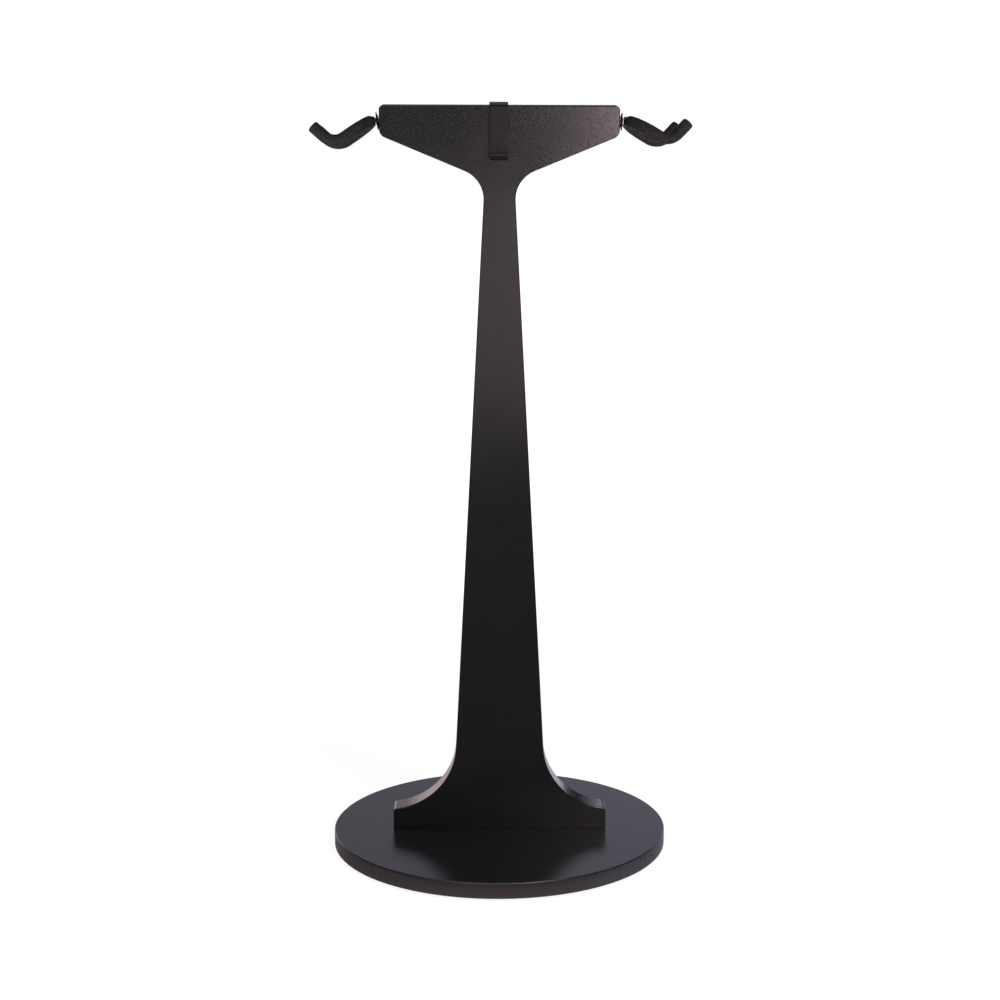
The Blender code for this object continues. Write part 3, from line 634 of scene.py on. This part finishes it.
# Lamps: each has a place, a point that it faces, a size in metres and a power in watts.  The two
# low ones have a narrow fan, in degrees, which keeps them off the lower board.
LAMPS = (
    {"name": "key_softbox", "place": (0.75, -1.25, 1.85), "target": (0.0, 0.0, 0.85),
     "width": 0.5, "height": 0.5, "power": 12.5},
    {"name": "top_softbox", "place": (-0.6, -0.6, 2.9), "target": (0.0, 0.0, 0.4),
     "width": 1.6, "height": 1.6, "power": 6.0},
    {"name": "front_softbox", "place": (0.0, -3.1, 0.39), "target": (0.0, 0.0, 0.76),
     "width": 1.4, "height": 0.6, "power": 2.85, "colour": (1.0, 0.78, 0.86)},
    {"name": "low_left", "place": (-0.80, -0.90, 0.20), "target": (-0.24, 0.0, 0.99),
     "width": 0.3, "height": 0.3, "power": 0.75, "fan": 34.0},
    {"name": "low_right", "place": (0.80, -0.90, 0.20), "target": (0.24, 0.0, 0.99),
     "width": 0.3, "height": 0.3, "power": 0.6, "colour": (1.0, 0.84, 0.88), "fan": 34.0},
    {"name": "right_strip", "place": (0.54, -3.1, 0.89), "target": (0.15, 0.0, 0.98),
     "width": 0.22, "height": 0.66, "power": 11.4, "colour": (1.0, 0.79, 0.86)},
)


def soft_light(name, place, target, width, height, power, colour=(1.0, 1.0, 1.0), fan=180.0):
    data = bpy.data.lights.new(name, "AREA")
    data.shape = "RECTANGLE"
    data.size = width
    data.size_y = height
    data.energy = power
    data.color = colour
    data.spread = math.radians(fan)
    made = bpy.data.objects.new(name, data)
    made.location = place
    made.rotation_euler = (Vector(target) - Vector(place)).to_track_quat("-Z", "Y").to_euler()
    made.visible_camera = False
    bpy.context.scene.collection.objects.link(made)


def mirrored_ray(w):
    path = w.node("ShaderNodeLightPath").outputs
    return w.larger(path["Is Glossy Ray"], path["Is Transmission Ray"])


# The room that reflections show.  Each pair that ends in X, Y or Z is the range of a direction's
# coordinate over which something sets in, or fades out where its name says so.
WHITE = (1.0, 1.0, 1.0, 1.0)
ROOM_DARK = (0.010, 0.010, 0.011, 1.0)
ROOM_LIGHT = (0.35, 0.35, 0.36, 1.0)
WALL_PALE = (1.46, 1.44, 1.78, 1.0)
WALL_WARM = (1.75, 1.42, 1.50, 1.0)
WALL_RIGHT = (0.75, 0.73, 0.75, 1.0)
WALL_BEHIND_Y = (-0.1, 0.5)
WALL_TOP_FADE_Z = (0.22, 0.46)
WALL_FOOT_Z = (0.18, 0.30)
WALL_LEFT_END_X = (-0.10, -0.28)
WALL_RIGHT_END_X = (0.34, 0.50)
WALL_RISE_X = (-0.12, 0.12)
WALL_RISE_LEVELS = (0.76, 1.18)
WALL_DIM_X = (0.12, 0.20)
WALL_DIM_LEVEL = 0.45
WALL_WARM_X = (-0.08, -0.16)
OVERHEAD_Z = (0.86, 0.96)
FAR_RIGHT_X = (0.75, 0.95)
FAR_RIGHT_FADE_Z = (0.25, 0.5)


def world():
    """White to the camera, and a dark room with pale walls in reflections.

    The wall stands low behind the stand and reaches lower at its two ends.  There is a pale patch
    overhead and a duller wall at the far right.
    """
    made = bpy.data.worlds.new("white_room")
    bpy.context.scene.world = made
    made.use_nodes = True
    tree = made.node_tree
    w = Wiring(tree)
    towards = w.axes(w.node("ShaderNodeTexCoord").outputs["Generated"])
    behind = w.span(towards["Y"], *WALL_BEHIND_Y)
    low = w.fade(towards["Z"], *WALL_TOP_FADE_Z)
    high = w.span(towards["Z"], *WALL_FOOT_Z)
    left_end = w.span(towards["X"], *WALL_LEFT_END_X)
    right_end = w.span(towards["X"], *WALL_RIGHT_END_X)
    rightwards = w.span(towards["X"], *WALL_RISE_X, *WALL_RISE_LEVELS)
    band = w.times(low, w.larger(high, w.larger(left_end, right_end)))
    wall = w.times(w.times(behind, band), rightwards)
    overhead = w.span(towards["Z"], *OVERHEAD_Z)
    dim_end = w.fade(towards["X"], *WALL_DIM_X, WALL_DIM_LEVEL)
    wall = w.larger(w.times(wall, dim_end), overhead)
    level = w.fade(w.math("ABSOLUTE", towards["Z"]), *FAR_RIGHT_FADE_Z)
    right = w.times(w.span(towards["X"], *FAR_RIGHT_X), level)
    pale = w.blend(w.span(towards["X"], *WALL_WARM_X), WALL_PALE, WALL_WARM)
    room = w.blend(right, w.blend(wall, ROOM_DARK, pale), WALL_RIGHT)
    lit = w.blend(mirrored_ray(w), ROOM_LIGHT, room)
    seen = w.node("ShaderNodeLightPath").outputs["Is Camera Ray"]
    w.link(w.blend(seen, lit, WHITE), tree.nodes["Background"].inputs["Color"])


# The floor.  Each pair is a range of X, Y or distance from the stand's middle, in metres.
FLOOR_HALF_SIZE = 14.0
FLOOR_UNDER_FEET = 0.0003
FLOOR_PAPER = (0.90, 0.90, 0.90, 1.0)
FLOOR_WHITE = (1.25, 1.25, 1.25, 1.0)
FLOOR_FAR = (0.08, 0.08, 0.085, 1.0)
FLOOR_NEAR = (1.12, 0.82, 0.89, 1.0)
FLOOR_RIGHT = (0.98, 0.98, 1.22, 1.0)
FLOOR_SHARE = 0.7
FLOOR_GLOSS_SHARE = 0.95
FLOOR_SHARE_REACH = (0.7, 1.8)
FLOOR_BEHIND_Y = (0.0, 0.7)
FLOOR_RIGHT_X = (0.10, 0.17)
RING_FADE_REACH = (0.262, 0.30)
RING_AHEAD_Y = (-0.22, -0.06)
RING_AHEAD_LEVEL = 0.3
RING_LEFT_X = (-0.22, -0.05)
RING_LEFT_LEVEL = 0.55


def floor_paper():
    """White paper that keeps the shadow; reflections show it lit behind and close round the disc."""
    paper = bpy.data.materials.new("white_paper_floor")
    paper.use_nodes = True
    tree = paper.node_tree
    w = Wiring(tree)
    surface = tree.nodes["Principled BSDF"]
    surface.inputs["Base Color"].default_value = FLOOR_PAPER
    surface.inputs["Roughness"].default_value = 0.9
    surface.inputs["Specular IOR Level"].default_value = 0.1
    place = w.place()
    across = w.axes(place)
    distance = w.node("ShaderNodeVectorMath", operation="LENGTH")
    w.link(place, distance.inputs[0])
    reach = distance.outputs["Value"]
    behind = w.span(across["Y"], *FLOOR_BEHIND_Y)
    beside = w.fade(reach, *RING_FADE_REACH)
    ahead = w.fade(across["Y"], *RING_AHEAD_Y, RING_AHEAD_LEVEL)
    lit_side = w.span(across["X"], *RING_LEFT_X, RING_LEFT_LEVEL, 1.0)
    ring = w.times(beside, w.times(ahead, lit_side))
    near = w.blend(w.span(across["X"], *FLOOR_RIGHT_X), FLOOR_NEAR, FLOOR_RIGHT)
    in_gloss = w.blend(w.larger(behind, ring), FLOOR_FAR, near)
    mirrored = mirrored_ray(w)
    glow = w.node("ShaderNodeEmission")
    w.link(w.blend(mirrored, FLOOR_WHITE, in_gloss), glow.inputs["Color"])
    mix = w.node("ShaderNodeMixShader")
    share = w.span(reach, *FLOOR_SHARE_REACH, FLOOR_SHARE, 1.0)
    w.link(w.larger(share, w.times(mirrored, FLOOR_GLOSS_SHARE)), mix.inputs[0])
    w.link(surface.outputs[0], mix.inputs[1])
    w.link(glow.outputs[0], mix.inputs[2])
    w.link(mix.outputs[0], tree.nodes["Material Output"].inputs["Surface"])
    return paper


def floor():
    bm = bmesh.new()
    bmesh.ops.create_grid(bm, x_segments=1, y_segments=1, size=FLOOR_HALF_SIZE)
    mesh = bpy.data.meshes.new("studio_floor")
    bm.to_mesh(mesh)
    bm.free()
    mesh.materials.append(floor_paper())
    made = bpy.data.objects.new("studio_floor", mesh)
    made.location.z = -FLOOR_UNDER_FEET
    bpy.context.scene.collection.objects.link(made)


def studio():
    bpy.context.scene.view_settings.view_transform = "Standard"
    world()
    floor()
    for lamp in LAMPS:
        soft_light(**lamp)


studio()
camera()
dress_nodes()
for yoke_side in ("left", "right"):
    for prong in ("front", "rear"):
        foam_sleeve(yoke_side, prong)
